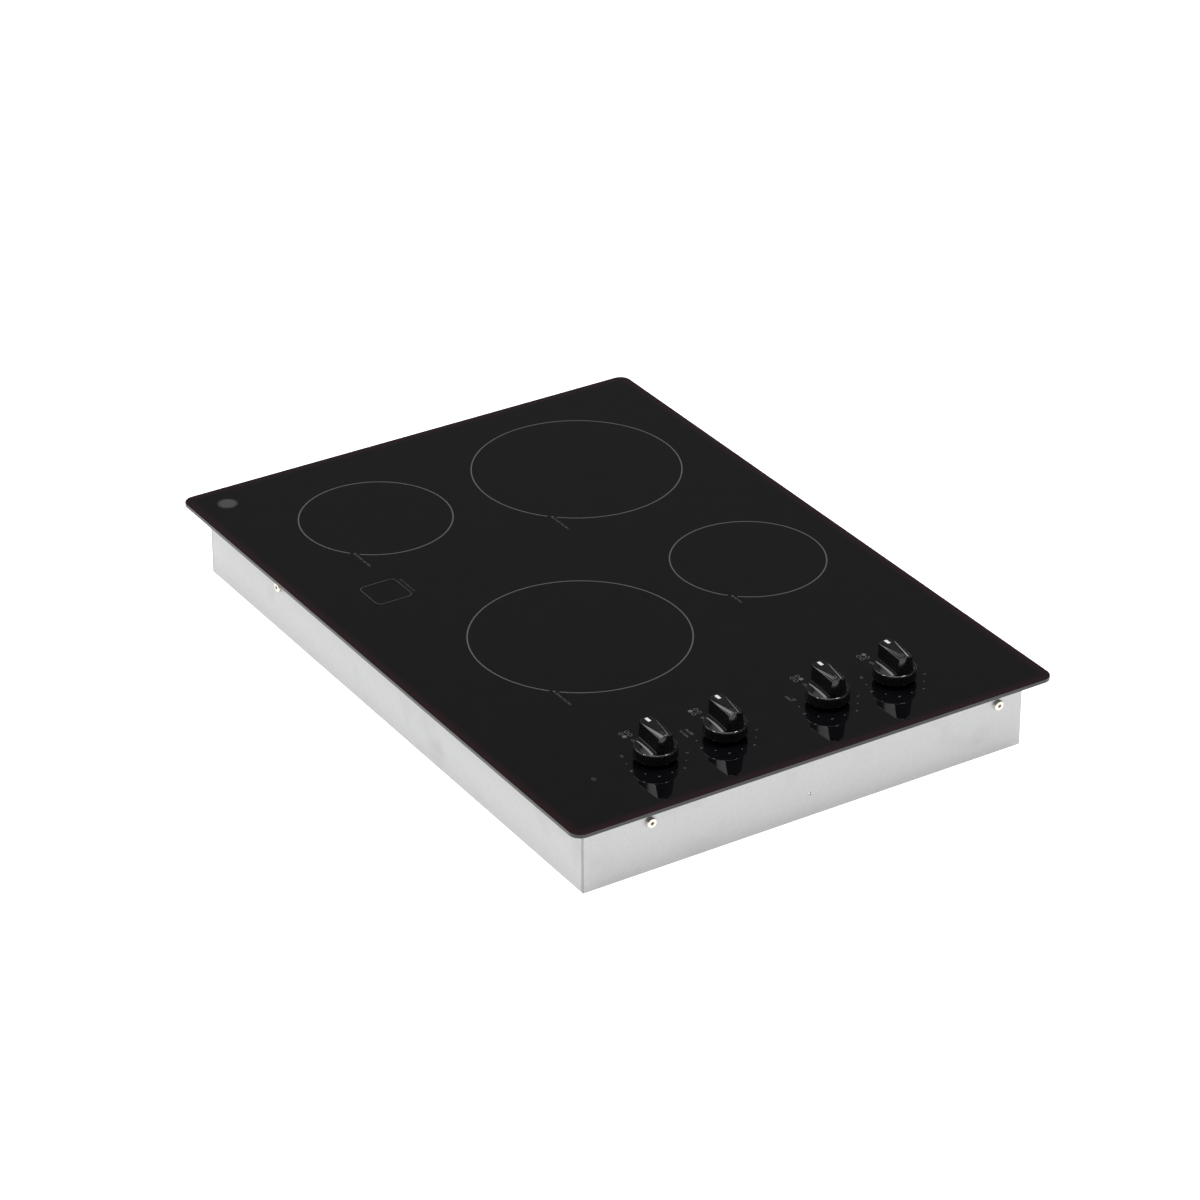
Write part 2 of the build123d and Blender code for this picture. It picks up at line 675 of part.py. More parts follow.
def switch_base(y):
    """The moulded base of a switch, with a round chamber for the cam."""
    half = BASE_SIDE / 2
    high = COVER_HIGH - COVER_SHEET
    base = block(KNOB_X - half, KNOB_X + half, y - half, y + half, BASE_LOW, high)
    base = fillet(base.edges().filter_by(Axis.Z), 2.0)
    base -= disc(KNOB_X, y, CAVITY_RADIUS, BASE_FLOOR, high + OVER)
    base -= disc(KNOB_X, y, HUB_RADIUS + RUNNING, RECESS_LOW, BASE_FLOOR + OVER)
    return base - switch_screw_holes(y, 0.05)


def switch_cam(y):
    """The cam that sets the heat: an eccentric disc on a hub with a D-shaped bore."""
    cam = disc(KNOB_X + CAM_THROW, y, CAM_RADIUS, CAM_LOW, CAM_HIGH)
    cam += disc(KNOB_X, y, HUB_RADIUS, HUB_LOW, CAM_LOW)
    radius, flat = SHAFT_RADIUS + RUNNING, SHAFT_FLAT + RUNNING
    return cam - d_bar(KNOB_X, y, radius, flat, HUB_LOW - OVER, CAM_HIGH + OVER)


def switch_shaft(y):
    """The control shaft, flat on its +Y side where the cam and the knob grip it."""
    round_top = SKIRT_LOW + 0.4
    shaft = disc(KNOB_X, y, SHAFT_RADIUS, COLLAR_LOW, round_top)
    shaft += d_bar(KNOB_X, y, SHAFT_RADIUS, SHAFT_FLAT, SHAFT_LOW, COLLAR_LOW)
    shaft += d_bar(KNOB_X, y, SHAFT_RADIUS, SHAFT_FLAT, round_top, SHAFT_HIGH)
    shaft += disc(KNOB_X, y, COLLAR_RADIUS, COLLAR_LOW, COLLAR_HIGH)
    return chamfer(shaft.edges().group_by(Axis.Z)[-1], 0.5)


def switch_spring(y):
    """The return spring between the cam and the shaft's collar."""
    return coil_spring(KNOB_X, y, CAM_COIL, CAM_WIRE, CAM_HIGH, COLLAR_LOW, CAM_TURNS)


def switch_terminals():
    """Four blade terminals under each switch."""
    half = TERMINAL_THICK / 2
    wide = TERMINAL_HALF_WIDE
    low = BASE_LOW - TERMINAL_LONG
    blades = []
    for knob_y in KNOB_YS:
        for x in (KNOB_X - LEAD_SIDE, KNOB_X + LEAD_SIDE):
            for y in (knob_y, knob_y + POLE_Y):
                blades.append(block(x - half, x + half, y - wide, y + wide, low, BASE_LOW))
    return blades


# ---------------------------------------------------------------- knobs
def grip():
    """The bar grip: flared at its foot, drafted at its ends, its top falling away to both sides."""
    foot = SKIRT_TALL - 1.0
    top = GRIP_TOP
    flare_out = GRIP_FOOT_WIDTH + GRIP_FLARE
    right = [(flare_out, foot), (flare_out, SKIRT_TALL)]
    outline = Polyline((0, foot), *right)
    bend = RadiusArc(right[-1], (GRIP_FOOT_WIDTH, SKIRT_TALL + GRIP_FLARE), GRIP_FLARE)
    crown = Polyline((GRIP_FOOT_WIDTH, SKIRT_TALL + GRIP_FLARE), (GRIP_HALF_WIDTH, top), (0, top), (0, foot))
    half = make_face([*outline.edges(), bend, *crown.edges()])
    section = half + mirror(half, Plane.YZ)
    bar = extrude(Plane.YZ * section, amount=GRIP_HALF + 3 * OVER, both=True)
    for side, lean in GRIP_LEANS:
        end = Pos(side * GRIP_HALF, 0, top) * Rot(0, -side * lean, 0)
        bar -= end * Pos(side * 20, 0, 0) * Box(40, 60, 80)
    # Each side of the top is one flat facet that starts as an edge and ends as half of a gable.
    for side in (-1, 1):
        start = Vector(-GRIP_HALF, side * GRIP_HALF_WIDTH, top - EAVE_DROP_START)
        eave = Vector(GRIP_HALF, side * GRIP_HALF_WIDTH, top - EAVE_DROP_END)
        ridge = Vector(GRIP_HALF, side * RIDGE_HALF, top)
        normal = (eave - start).cross(ridge - start)
        if normal.Z < 0:
            normal = -normal
        slope = Plane(origin=start, z_dir=normal)
        bar -= slope * Pos(0, 0, 20) * Box(120, 120, 40)
    return bar & Pos(0, 0, top / 2) * Cylinder(SKIRT_RADIUS - 1.3, top + 2)


def knob(y):
    """A control knob: a round skirt with a bright chamfer, a bar grip and a D-shaped bore."""
    r = SKIRT_RADIUS
    profile = [(0, 0), (r, 0), (r - 0.4, SKIRT_TALL - 1.0), (r - 1.3, SKIRT_TALL), (0, SKIRT_TALL)]
    body = revolve(Plane.XZ * make_face(Polyline(*profile, close=True)), Axis.Z)
    body += grip()
    roof = SKIRT_TALL - ROOF_TALL
    body -= disc(0, 0, r - SKIRT_WALL, 0, roof) - disc(0, 0, BOSS_RADIUS, 0, roof)
    body -= disc(0, 0, BOSS_RADIUS + OVER, -OVER, 0.6)
    for x in (-CORE_X, CORE_X):
        half_x, half_y = CORE_LONG / 2, CORE_WIDE / 2
        body -= block(x - half_x, x + half_x, -half_y, half_y, roof - OVER / 2, CORE_HIGH)
    bore_end = SHAFT_HIGH - SKIRT_LOW + 0.8
    body -= d_bar(0, 0, SHAFT_RADIUS + RUNNING, SHAFT_FLAT + RUNNING, -OVER, bore_end)
    half = CLIP_HALF + 0.2
    body -= block(-half, half, CLIP_Y - 0.3, CLIP_REACH + 0.1, -OVER, CLIP_HIGH + 0.3)
    return Pos(KNOB_X, y, SKIRT_LOW) * body


def knob_clip(y):
    """The spring clip in the knob's bore that holds it on the shaft's flat."""
    half, thick = CLIP_HALF, CLIP_SHEET
    clip = block(-half, half, CLIP_Y, CLIP_Y + thick, CLIP_LOW, CLIP_HIGH)
    for low in (CLIP_LOW, CLIP_HIGH - thick):
        clip += block(-half, half, CLIP_Y, CLIP_REACH, low, low + thick)
    return Pos(KNOB_X, y, SKIRT_LOW) * clip


# ---------------------------------------------------------------- every node
save("glass_top", glass_top())
save("rim_gasket", *rim_gasket())
save("adhesive_bead", adhesive_bead())
save("top_frame", top_frame())
save("burner_box", burner_box())
save("side_screws", *side_screws())
save("element_rails", *element_rails())
save("rail_springs", *rail_springs())
save("heat_shield", heat_shield())
save("switch_bracket", switch_bracket())
save("bracket_screws", *bracket_screws())
save("shaft_grommets", *shaft_grommets())
save("indicator_lamp", indicator_lamp())
save("indicator_bracket", indicator_bracket())
save("terminal_block", *terminal_block())
save("inlet_bushing", inlet_bushing())
save("wire_harness", *wire_harness())
save("switch_covers", *[switch_cover(y) for y in KNOB_YS])
save("switch_terminals", *switch_terminals())

for zone in ELEMENTS:
    save(zone + "_dish", element_dish(zone))
    save(zone + "_insulation", element_insulation(zone))
    save(zone + "_coil", element_coil(zone))
    save(zone + "_limiter", element_limiter(zone))

for y, zone in zip(KNOB_YS, ZONES):
    save(zone + "_switch_base", switch_base(y))
    save(zone + "_switch_cam", switch_cam(y))
    save(zone + "_switch_shaft", switch_shaft(y))
    save(zone + "_switch_spring", switch_spring(y))
    save(zone + "_knob", knob(y))
    save(zone + "_knob_clip", knob_clip(y))
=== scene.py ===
"""The looks of a built-in radiant cooktop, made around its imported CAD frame.

Everything is in metres in the row frame: +X to the user's right, +Y to the back, +Z up.
The frame gives every place; the sizes below are of what only the eye needs: prints, bevels, grain.
"""

from math import cos, pi, radians, sin, sqrt, tan

import bmesh
import bpy
from mathutils import Matrix, Vector


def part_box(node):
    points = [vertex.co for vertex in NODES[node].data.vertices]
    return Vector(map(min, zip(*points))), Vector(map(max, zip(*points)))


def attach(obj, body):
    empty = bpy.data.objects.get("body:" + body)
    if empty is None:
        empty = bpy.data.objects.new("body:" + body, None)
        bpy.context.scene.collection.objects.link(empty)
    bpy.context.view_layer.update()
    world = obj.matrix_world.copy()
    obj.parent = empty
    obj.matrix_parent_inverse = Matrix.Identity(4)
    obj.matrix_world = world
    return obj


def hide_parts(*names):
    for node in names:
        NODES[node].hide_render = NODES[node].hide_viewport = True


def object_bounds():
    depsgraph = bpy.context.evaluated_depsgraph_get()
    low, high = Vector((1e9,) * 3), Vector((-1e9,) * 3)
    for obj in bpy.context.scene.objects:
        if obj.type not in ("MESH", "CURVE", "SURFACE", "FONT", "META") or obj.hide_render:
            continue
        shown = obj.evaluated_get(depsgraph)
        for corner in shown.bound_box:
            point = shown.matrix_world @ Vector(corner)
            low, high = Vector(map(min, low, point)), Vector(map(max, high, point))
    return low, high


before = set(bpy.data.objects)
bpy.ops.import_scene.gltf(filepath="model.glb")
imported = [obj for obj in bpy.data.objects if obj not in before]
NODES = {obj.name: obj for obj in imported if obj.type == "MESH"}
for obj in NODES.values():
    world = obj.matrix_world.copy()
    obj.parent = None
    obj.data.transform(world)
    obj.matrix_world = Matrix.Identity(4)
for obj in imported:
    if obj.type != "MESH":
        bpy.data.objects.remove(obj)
cad_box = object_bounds()
MM = 0.001

# Knobs from the front of the cooktop to the back, and the zone that each one heats.
ZONES = ("front_right", "front_left", "rear_right", "rear_left")


# ---------------------------------------------------------------- places, read from the frame
def centre(node):
    """The middle of a CAD node's box at rest."""
    low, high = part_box(node)
    return (low + high) / 2


GLASS_LOW, GLASS_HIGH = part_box("glass_top")
TOP = GLASS_HIGH.z
BOX_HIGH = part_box("burner_box")[1]
RING_INSET = 3.7 * MM


def zone_ring(zone):
    """The centre and the radius of a zone's printed ring."""
    low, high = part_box(zone + "_insulation")
    return (low + high) / 2, (high.y - low.y) / 2 - RING_INSET


# ---------------------------------------------------------------- camera
CAMERA_AZIMUTH = radians(57.853)
CAMERA_ELEVATION = radians(29.224)
CAMERA_ROLL = radians(-0.08)
CAMERA_DISTANCE = 4.252
CAMERA_LENS = 131.6
SENSOR_WIDTH = 36
CLIP_END = 200
CAMERA_AIM = Vector((0.02573, -0.01873, TOP + 0.00034))


def add_camera():
    """Stands the camera off the cooktop's right front corner, looking down at it."""
    data = bpy.data.cameras.new("camera")
    data.lens = CAMERA_LENS
    data.sensor_width = SENSOR_WIDTH
    data.clip_end = CLIP_END
    camera = bpy.data.objects.new("camera", data)
    bpy.context.scene.collection.objects.link(camera)
    flat = cos(CAMERA_ELEVATION)
    back = Vector((sin(CAMERA_AZIMUTH) * flat, -cos(CAMERA_AZIMUTH) * flat, sin(CAMERA_ELEVATION)))
    camera.location = CAMERA_AIM + CAMERA_DISTANCE * back
    turn = back.to_track_quat("Z", "Y") @ Matrix.Rotation(CAMERA_ROLL, 3, "Z").to_quaternion()
    camera.rotation_euler = turn.to_euler()
    bpy.context.scene.camera = camera


# ---------------------------------------------------------------- node helpers
class Shader:
    """A material's node tree, with short calls for the nodes that the materials here share."""

    def __init__(self, name, roughness, metallic=0.0, **sockets):
        self.material = bpy.data.materials.new(name)
        self.material.use_nodes = True
        self.tree = self.material.node_tree
        self.tree.nodes.clear()
        self.bsdf = self.add("ShaderNodeBsdfPrincipled")
        out = self.add("ShaderNodeOutputMaterial")
        self.link(self.bsdf, "BSDF", out, "Surface")
        self.bsdf.inputs["Roughness"].default_value = roughness
        self.bsdf.inputs["Metallic"].default_value = metallic
        for socket, value in sockets.items():
            self.bsdf.inputs[socket.replace("_", " ")].default_value = value
        place = self.add("ShaderNodeTexCoord")
        self.place = place.outputs["Object"]

    def add(self, kind, **values):
        node = self.tree.nodes.new(kind)
        for name, value in values.items():
            setattr(node, name, value)
        return node

    def link(self, source, output, target, name):
        self.tree.links.new(source.outputs[output], target.inputs[name])

    def feed(self, output, name):
        """Links an output to one of the shader's own inputs."""
        self.tree.links.new(output, self.bsdf.inputs[name])

    def stretched(self, scale):
        """The object's coordinates, stretched."""
        mapping = self.add("ShaderNodeMapping")
        mapping.inputs["Scale"].default_value = scale
        self.tree.links.new(self.place, mapping.inputs["Vector"])
        return mapping.outputs["Vector"]

    def noise(self, scale, detail=3.0, stretch=None):
        node = self.add("ShaderNodeTexNoise")
        node.inputs["Scale"].default_value = scale
        node.inputs["Detail"].default_value = detail
        source = self.stretched(stretch) if stretch else self.place
        self.tree.links.new(source, node.inputs["Vector"])
        return node.outputs["Fac"]

    def cells(self, scale):
        """A random grey for each cell of a Voronoi pattern."""
        node = self.add("ShaderNodeTexVoronoi")
        node.inputs["Scale"].default_value = scale
        self.tree.links.new(self.place, node.inputs["Vector"])
        grey = self.add("ShaderNodeRGBToBW")
        self.tree.links.new(node.outputs["Color"], grey.inputs["Color"])
        return grey.outputs["Val"]

    def ramp(self, value, low, high, start=0.0, end=1.0):
        """Maps a value's span from start to end onto low to high, held at both ends."""
        node = self.add("ShaderNodeMapRange", clamp=True)
        self.tree.links.new(value, node.inputs["Value"])
        node.inputs["From Min"].default_value = start
        node.inputs["From Max"].default_value = end
        node.inputs["To Min"].default_value = low
        node.inputs["To Max"].default_value = high
        return node.outputs["Result"]

    def maths(self, kind, first, second):
        node = self.add("ShaderNodeMath", operation=kind)
        for i, value in enumerate((first, second)):
            if isinstance(value, (int, float)):
                node.inputs[i].default_value = value
            else:
                self.tree.links.new(value, node.inputs[i])
        return node.outputs["Value"]

    def mix(self, factor, first, second):
        """Two colours mixed by a factor. Each is a colour or an output."""
        node = self.add("ShaderNodeMix", data_type="RGBA")
        self.tree.links.new(factor, node.inputs["Factor"])
        for name, value in (("A", first), ("B", second)):
            socket = [s for s in node.inputs if s.name == name and s.type == "RGBA"][0]
            if isinstance(value, tuple):
                socket.default_value = (*value, 1.0)
            else:
                self.tree.links.new(value, socket)
        return [s for s in node.outputs if s.type == "RGBA"][0]

    def bump(self, height, distance, strength=1.0):
        node = self.add("ShaderNodeBump")
        node.inputs["Distance"].default_value = distance
        node.inputs["Strength"].default_value = strength
        self.tree.links.new(height, node.inputs["Height"])
        self.feed(node.outputs["Normal"], "Normal")

    def component(self, vector, letter):
        """One component of a vector, without its sign."""
        split = self.add("ShaderNodeSeparateXYZ")
        self.tree.links.new(vector, split.inputs["Vector"])
        return self.maths("ABSOLUTE", split.outputs[letter], 0.0)

    def facing_up(self):
        """1 on surfaces that face straight up or down, 0 on upright ones."""
        geometry = self.add("ShaderNodeNewGeometry")
        return self.component(geometry.outputs["Normal"], "Z")

    def axis(self, letter):
        """One of the object's coordinates, as a distance from the middle plane."""
        return self.component(self.place, letter)

    def inward(self, border, letter):
        """How far a place lies inside a border, which is a distance along one axis."""
        return self.maths("SUBTRACT", border, self.axis(letter))


# ---------------------------------------------------------------- materials
# How far in from the glass's border its warm tint starts and is full.
TINT_SPAN = (11 * MM, 2 * MM)
# How much of a normal points up where a face of the glass is all ground edge, and where it is none.
EDGE_SLOPES = (0.3, 0.6)
# How far from the box's corner the dark seam line is full and has faded.
SEAM_SPAN = (0.4 * MM, 1.2 * MM)


def black_ceramic_glass():
    """Polished black glass with a ground edge and a faint warm tint along its border."""
    s = Shader("black ceramic glass", 0.03, IOR=1.5)
    near = s.maths("MINIMUM", s.inward(GLASS_HIGH.x, "X"), s.inward(GLASS_HIGH.y, "Y"))
    tint = s.ramp(near, 0.0, 1.0, *TINT_SPAN)
    body = s.mix(s.noise(40.0), (0.0012, 0.0010, 0.0014), (0.0022, 0.0019, 0.0024))
    tinted = s.mix(tint, body, (0.0085, 0.0028, 0.0034))
    edge = s.ramp(s.facing_up(), 1.0, 0.0, *EDGE_SLOPES)
    ground = s.mix(s.noise(900.0, 4.0), (0.016, 0.015, 0.017), (0.036, 0.035, 0.038))
    s.feed(s.mix(edge, tinted, ground), "Base Color")
    polish = s.ramp(s.noise(9.0, 5.0), 0.015, 0.035, 0.35, 0.65)
    s.feed(s.maths("ADD", polish, s.ramp(edge, 0.0, 0.36)), "Roughness")
    return s.material


def printed_enamel(name, dark, light):
    """Fired-on print: slightly speckled, duller than the glass it lies on."""
    s = Shader(name, 0.42)
    s.feed(s.mix(s.noise(2600.0, 2.0), dark, light), "Base Color")
    s.bump(s.noise(4000.0, 1.0), 0.01 * MM, 0.4)
    return s.material


def galvanised_sheet():
    """Zinc-coated sheet: fine spangle, handling smudges and a dark line up each corner seam."""
    s = Shader("galvanised sheet", 0.45, metallic=0.75)
    fine = s.maths("MULTIPLY", s.cells(520.0), 0.5)
    coarse = s.maths("MULTIPLY", s.noise(210.0, 5.0), 0.5)
    mottle = s.maths("ADD", fine, coarse)
    spangle = s.ramp(mottle, 0.0, 1.0, 0.25, 0.75)
    zinc = s.mix(spangle, (0.465, 0.467, 0.468), (0.545, 0.547, 0.548))
    smudge = s.ramp(s.noise(22.0, 6.0), 0.0, 1.0, 0.56, 0.80)
    smudged = s.mix(smudge, zinc, (0.435, 0.440, 0.437))
    from_corner = s.maths("MAXIMUM", s.inward(BOX_HIGH.x, "X"), s.inward(BOX_HIGH.y, "Y"))
    seam = s.ramp(from_corner, 1.0, 0.0, *SEAM_SPAN)
    s.feed(s.mix(seam, smudged, (0.16, 0.16, 0.16)), "Base Color")
    s.feed(s.ramp(mottle, 0.42, 0.58, 0.3, 0.7), "Roughness")
    s.bump(s.maths("ADD", mottle, s.noise(900.0, 2.0)), 0.02 * MM, 0.4)
    return s.material


def bright_sheet(name, dark, light, scale=70.0):
    """Rolled steel sheet or strip with faint lines and stains."""
    s = Shader(name, 0.35, metallic=1.0)
    lines = s.noise(scale, 4.0, (1.0, 12.0, 12.0))
    stained = s.maths("MULTIPLY", lines, s.ramp(s.noise(12.0), 0.5, 1.3))
    s.feed(s.mix(stained, dark, light), "Base Color")
    s.feed(s.ramp(lines, 0.26, 0.46, 0.3, 0.7), "Roughness")
    return s.material


def plated_screw():
    """Nickel plate with a warm cast, dulled in patches."""
    s = Shader("warm nickel plate", 0.28, metallic=1.0)
    patch = s.noise(420.0, 4.0)
    s.feed(s.mix(patch, (0.60, 0.57, 0.50), (0.74, 0.71, 0.65)), "Base Color")
    s.feed(s.ramp(patch, 0.22, 0.40, 0.35, 0.65), "Roughness")
    return s.material


def knob_plastic():
    """Glossy moulded black plastic with the least orange peel."""
    s = Shader("glossy black plastic", 0.08, IOR=1.5)
    s.feed(s.mix(s.noise(300.0), (0.0035, 0.0035, 0.0038), (0.0055, 0.0055, 0.006)), "Base Color")
    s.feed(s.ramp(s.noise(60.0, 5.0), 0.06, 0.11, 0.35, 0.65), "Roughness")
    return s.material


def white_inlay():
    """The white paint of the pointer."""
    s = Shader("white pointer paint", 0.35)
    s.feed(s.mix(s.noise(900.0), (0.37, 0.37, 0.37), (0.43, 0.43, 0.43)), "Base Color")
    return s.material


def grainy(name, dark, light, roughness, scale, depth, **sockets):
    """A moulded, pressed or woven dull material: two near colours and a fine bump."""
    s = Shader(name, roughness, **sockets)
    grain = s.noise(scale, 4.0)
    s.feed(s.mix(grain, dark, light), "Base Color")
    s.feed(s.ramp(grain, roughness - 0.07, roughness + 0.07, 0.3, 0.7), "Roughness")
    s.bump(grain, depth)
    return s.material


def pale_floor():
    """The plain pale studio floor."""
    s = Shader("pale floor", 0.75, Emission_Strength=1.0)
    s.feed(s.mix(s.noise(3.0), (0.34, 0.34, 0.34), (0.38, 0.38, 0.38)), "Base Color")
    s.bsdf.inputs["Emission Color"].default_value = (1.0, 1.0, 1.0, 1.0)
    s.bsdf.inputs["Specular IOR Level"].default_value = 0.1
    return s.material


def paint(material, *names):
    """Gives CAD nodes a material."""
    for name in names:
        mesh = NODES[name].data
        mesh.materials.clear()
        mesh.materials.append(material)


# ---------------------------------------------------------------- mesh helpers
def piece(name, mesh, material, body):
    """A new object for a mesh, which rides on a body."""
    obj = bpy.data.objects.new(name, mesh)
    bpy.context.scene.collection.objects.link(obj)
    mesh.materials.clear()
    mesh.materials.append(material)
    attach(obj, body)
    return obj


# Prints stand just off the glass, so that no print shares a plane with it.
PRINT_LOW = TOP + 0.01 * MM
PRINT_THICK = 0.04 * MM
PRINT_HIGH = PRINT_LOW + PRINT_THICK


def close_side(bm, low, high):
    """Faces between two closed rows of points."""
    for i in range(len(low)):
        k = (i + 1) % len(low)
        bm.faces.new((low[i], low[k], high[k], high[i]))


def plate(bm, points, z0, z1):
    """A closed flat plate between two heights, from its outline."""
    low = [bm.verts.new((x, y, z0)) for x, y in points]
    high = [bm.verts.new((x, y, z1)) for x, y in points]
    bm.faces.new(low[::-1])
    bm.faces.new(high)
    close_side(bm, low, high)


def band(bm, x, y, inner, outer, start, end, steps):
    """A flat printed arc from one angle to another, as a closed thin solid."""
    z0, z1 = PRINT_LOW, PRINT_HIGH
    closed = abs(end - start) >= 2 * pi - 1e-6
    count = steps if closed else steps + 1
    rows = []
    for i in range(count):
        angle = start + (end - start) * i / steps
        c, s = cos(angle), sin(angle)
        corners = [(outer, z0), (outer, z1), (inner, z1), (inner, z0)]
        rows.append([bm.verts.new((x + r * c, y + r * s, z)) for r, z in corners])
    for i in range(steps):
        here, there = rows[i], rows[(i + 1) % count]
        for k in range(4):
            bm.faces.new((here[k], there[k], there[(k + 1) % 4], here[(k + 1) % 4]))
    if not closed:
        bm.faces.new(rows[0])
        bm.faces.new(rows[-1][::-1])


def dot(bm, x, y, radius, steps=24):
    """A filled printed disc."""
    turns = [2 * pi * i / steps for i in range(steps)]
    points = [(x + radius * cos(t), y + radius * sin(t)) for t in turns]
    plate(bm, points, PRINT_LOW, PRINT_HIGH)


def loop_strip(bm, inner, outer):
    """A printed outline between two closed lists of points, as a closed thin solid."""
    z0, z1 = PRINT_LOW, PRINT_HIGH
    rows = []
    for near, far in zip(inner, outer):
        corners = ((*far, z0), (*far, z1), (*near, z1), (*near, z0))
        rows.append([bm.verts.new(corner) for corner in corners])
    for i, here in enumerate(rows):
        there = rows[(i + 1) % len(rows)]
        for k in range(4):
            bm.faces.new((here[k], there[k], there[(k + 1) % 4], here[(k + 1) % 4]))


def rounded_points(x, y, half_x, half_y, radius, steps=8):
    """Points round a rectangle with rounded corners."""
    points = []
    for quarter, (sx, sy) in enumerate(((1, 1), (-1, 1), (-1, -1), (1, -1))):
        for i in range(steps + 1):
            angle = pi / 2 * (quarter + i / steps)
            px = x + sx * (half_x - radius) + radius * cos(angle)
            py = y + sy * (half_y - radius) + radius * sin(angle)
            points.append((px, py))
    return points


def lettering(bm, text, x, y, tall, wide=None, anchor=0.5):
    """Printed letters of a given height, and of a given length if wide is given.

    x is where the text's anchor lies: 0 is its left end and 0.5 its middle. y is its middle line.
    """
    curve = bpy.data.curves.new("letters", "FONT")
    curve.body = text
    curve.size = 1.0
    curve.resolution_u = 3
    holder = bpy.data.objects.new("letters", curve)
    bpy.context.scene.collection.objects.link(holder)
    bpy.context.view_layer.update()
    evaluated = holder.evaluated_get(bpy.context.evaluated_depsgraph_get())
    mesh = bpy.data.meshes.new_from_object(evaluated)
    bpy.data.objects.remove(holder)
    xs = [v.co.x for v in mesh.vertices]
    ys = [v.co.y for v in mesh.vertices]
    grow_y = tall / (max(ys) - min(ys))
    grow_x = wide / (max(xs) - min(xs)) if wide else grow_y
    left = x - anchor * (max(xs) - min(xs)) * grow_x
    start = len(bm.verts)
    bm.from_mesh(mesh)
    bpy.data.meshes.remove(mesh)
    bm.verts.ensure_lookup_table()
    fresh = bm.verts[start:]
    for v in fresh:
        v.co = (
            left + (v.co.x - min(xs)) * grow_x,
            y + (v.co.y - (max(ys) + min(ys)) / 2) * grow_y,
            PRINT_LOW,
        )
    faces = {f for v in fresh for f in v.link_faces}
    grown = bmesh.ops.extrude_face_region(bm, geom=list(faces))
    for item in grown["geom"]:
        if isinstance(item, bmesh.types.BMVert):
            item.co.z += PRINT_THICK


def add_print(name, bm, material):
    """A print's mesh as a piece of the glass top."""
    piece(name, finished(bm, name), material, "root")


def finished(bm, name):
    """The mesh of a bmesh, with its faces turned outwards."""
    bmesh.ops.remove_doubles(bm, verts=bm.verts, dist=1e-7)
    bmesh.ops.recalc_face_normals(bm, faces=bm.faces)
    mesh = bpy.data.meshes.new(name)
    bm.to_mesh(mesh)
    bm.free()
    return mesh


# ---------------------------------------------------------------- prints on the glass
RING_WIDTH = 1.3 * MM
RING_GAP = 10 * MM
RING_STEPS = 180
LABEL_ANGLE = radians(-45)
LABEL_DOT = 1.2 * MM
LABEL_START = 2.4 * MM
LABEL_TALL = 2.3 * MM
# Each zone's label, and the length from its dot to its end.
LABELS = {
    "front_right": ("ZONE 216 MM", 29 * MM),
    "rear_left": ("ZONE 216 MM", 30 * MM),
    "front_left": ("ZONE 155 MM", 30 * MM),
    "rear_right": ("155 MM", 15 * MM),
}


def zone_prints(grey):
    """The four rings, each open at its lower right, where its label starts."""
    rings = bmesh.new()
    labels = bmesh.new()
    for zone in ZONES:
        middle, radius = zone_ring(zone)
        gap = RING_GAP / radius / 2
        start = LABEL_ANGLE + gap
        end = LABEL_ANGLE - gap + 2 * pi
        half = RING_WIDTH / 2
        band(rings, middle.x, middle.y, radius - half, radius + half, start, end, RING_STEPS)
        x = middle.x + radius * cos(LABEL_ANGLE)
        y = middle.y + radius * sin(LABEL_ANGLE)
        dot(labels, x, y, LABEL_DOT)
        text, wide = LABELS[zone]
        lettering(labels, text, x + LABEL_START, y, LABEL_TALL, wide - LABEL_START, 0.0)
    add_print("zone_rings", rings, grey)
    add_print("zone_labels", labels, grey)


WINDOW_HALF = 20 * MM
WINDOW_CORNER = 6 * MM
WINDOW_LINE = 0.8 * MM
WINDOW_WORDS_UP = 24.2 * MM
WINDOW_WORDS_TALL = 2.4 * MM
WINDOW_WORDS_WIDE = 29 * MM


def indicator_prints(faint):
    """The outline of the hot-surface window and the words over it."""
    low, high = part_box("indicator_lamp")
    x, y = (low.x + high.x) / 2, (low.y + high.y) / 2
    outline = bmesh.new()
    half = WINDOW_HALF - WINDOW_LINE
    inner = rounded_points(x, y, half, half, WINDOW_CORNER - WINDOW_LINE)
    outer = rounded_points(x, y, WINDOW_HALF, WINDOW_HALF, WINDOW_CORNER)
    loop_strip(outline, inner, outer)
    add_print("indicator_window", outline, faint)
    words = bmesh.new()
    up = y + WINDOW_WORDS_UP
    lettering(words, "HEAT INDICATOR", x, up, WINDOW_WORDS_TALL, WINDOW_WORDS_WIDE)
    add_print("indicator_words", words, faint)


# Each mark of a knob's scale: its text, its angle in degrees from +X, its distance in mm.
DIAL_MARKS = (
    ("OFF", 180, 36.5), ("LO", 130, 31), ("HI", -130, 31),
    ("2", 78, 31), ("4", 26, 31), ("6", -26, 31), ("8", -78, 31),
)
DIAL_TALL = 2.9 * MM
DIAL_DOTS = (104, 52, 0, -52, -104)
DIAL_DOT_REACH = 28
DIAL_DOT_RADIUS = 0.65 * MM
# The icon's four small rings, placed from the knob's axis.
ICON_LEFT = -54 * MM
ICON_LOW = -3 * MM
ICON_STEP = 6 * MM
ICON_INNER = 1.7 * MM
ICON_OUTER = 2.3 * MM
# The words between the knobs: the knob's zone, the text, its place from the knob and its length.
HINT_TALL = 2.6 * MM
HINTS = (
    ("front_left", "PUSH", -23.2 * MM, -24.5 * MM, 11 * MM),
    ("front_left", "TO TURN", -23.2 * MM, -30.3 * MM, 14 * MM),
    ("rear_right", "HEAT", -23.8 * MM, -27.2 * MM, 11 * MM),
)


